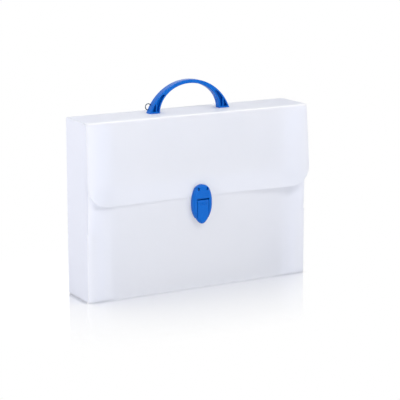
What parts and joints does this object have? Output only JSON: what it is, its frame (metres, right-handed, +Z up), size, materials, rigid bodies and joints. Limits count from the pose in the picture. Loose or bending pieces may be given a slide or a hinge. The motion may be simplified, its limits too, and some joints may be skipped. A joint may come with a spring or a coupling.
{
  "type": "plastic carry case",
  "caption": "Slim carry case for papers, folded from frosted translucent plastic sheet, with a fold-over flap, a blue arched handle on top and a blue oval lever lock.",
  "frame": {"origin": "middle of the face that the case stands on", "axes": "+X along the case to the right, seen from the front; +Y from the front, where the lock is, to the back; +Z up, towards the handle"},
  "size_m": [0.38, 0.0845, 0.3174],
  "materials": {
    "frosted_sheet": "satin, translucent",
    "blue_moulding": "gloss",
    "steel_wire": "polished",
    "clear_adhesive": "satin, translucent"
  },
  "bodies": {
    "case": {"front_panel": "frosted_sheet", "base_panel": "frosted_sheet", "back_panel": "frosted_sheet", "rear_crease": "frosted_sheet", "side_gusset_left": "frosted_sheet", "side_gusset_right": "frosted_sheet", "glue_strip_front_left": "clear_adhesive", "glue_strip_front_right": "clear_adhesive", "glue_strip_back_left": "clear_adhesive", "glue_strip_back_right": "clear_adhesive", "glue_strip_base_left": "clear_adhesive", "glue_strip_base_right": "clear_adhesive", "keeper": "blue_moulding", "keeper_backing_plate": "blue_moulding"},
    "lid": {"top_panel": "frosted_sheet", "front_crease": "frosted_sheet", "handle": "blue_moulding", "handle_retainer_left": "blue_moulding", "handle_retainer_right": "blue_moulding"},
    "flap": {"front_flap": "frosted_sheet", "lock_body": "blue_moulding", "lock_hinge_pin": "steel_wire", "lock_backing_plate": "blue_moulding"},
    "lever": {"lock_lever": "blue_moulding"},
    "ring": {"tag_ring": "steel_wire"}
  },
  "joints": [
    {"name": "lid_crease", "type": "hinge", "parent": "case", "child": "lid", "pos_m": [0, 0.0354, 0.2694], "axis": [-1, 0, 0], "range_deg": [0, 180], "deforming": ["rear_crease"]},
    {"name": "flap_crease", "type": "hinge", "parent": "lid", "child": "flap", "pos_m": [0, -0.0372, 0.2694], "axis": [-1, 0, 0], "range_deg": [0, 180], "deforming": ["front_crease"]},
    {"name": "lever_hinge", "type": "hinge", "parent": "flap", "child": "lever", "pos_m": [0, -0.0437, 0.1366], "axis": [-1, 0, 0], "range_deg": [0, 75]},
    {"name": "ring_turn", "type": "hinge", "parent": "lid", "child": "ring", "pos_m": [-0.067, 0.0035, 0.2798], "axis": [0, 1, 0], "continuous": true}
  ]
}
